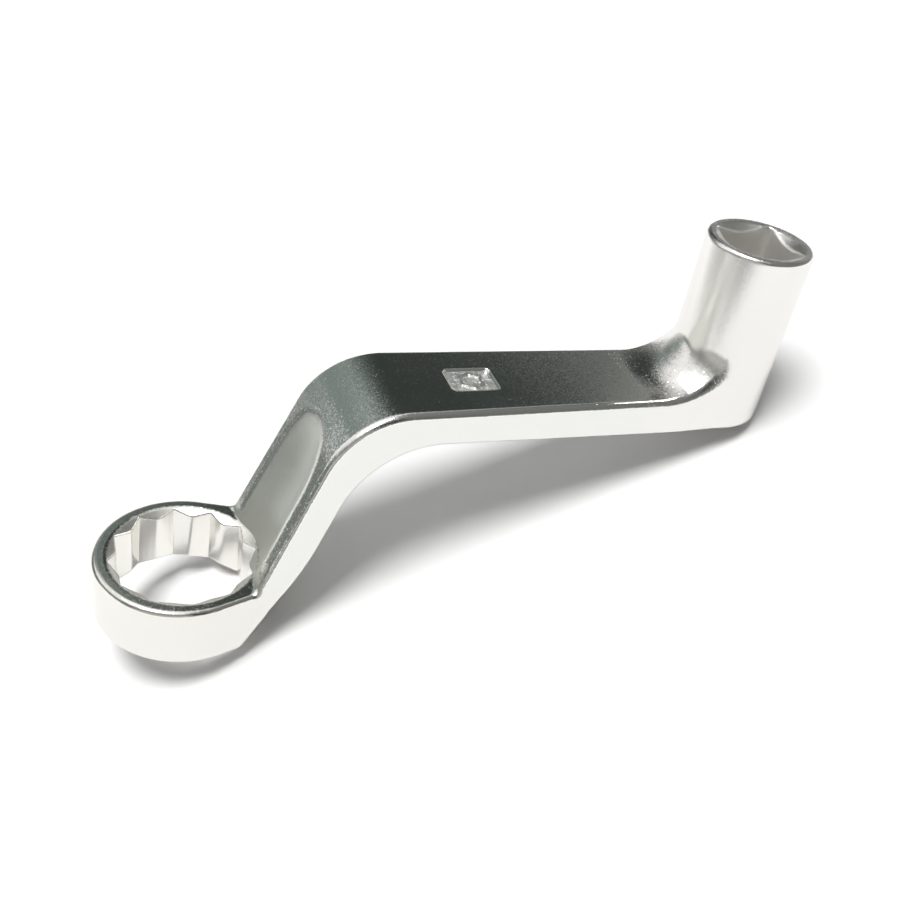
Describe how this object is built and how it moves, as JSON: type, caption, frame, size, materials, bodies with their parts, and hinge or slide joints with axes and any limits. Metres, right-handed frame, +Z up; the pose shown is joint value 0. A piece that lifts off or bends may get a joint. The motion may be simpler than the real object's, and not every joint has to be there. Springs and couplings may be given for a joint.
{
  "type": "filter wrench",
  "caption": "Cranked chrome filter wrench: a low pointed box ring, a steep scooped ramp into a flat bar, and an upright boss with a square drive hole.",
  "frame": {"origin": "centre of the bounding box at the floor, with the tool lying on the lower edges of its ring and its boss", "axes": "+X along the handle from the ring towards the drive boss, +Y across the handle, +Z up"},
  "size_m": [0.153, 0.0334, 0.0419],
  "materials": {
    "ring_chrome": "satin",
    "shank_chrome": "satin",
    "boss_chrome": "satin"
  },
  "bodies": {
    "root": {"box_ring": "ring_chrome", "cranked_shank": "shank_chrome", "drive_boss": "boss_chrome"}
  },
  "joints": []
}
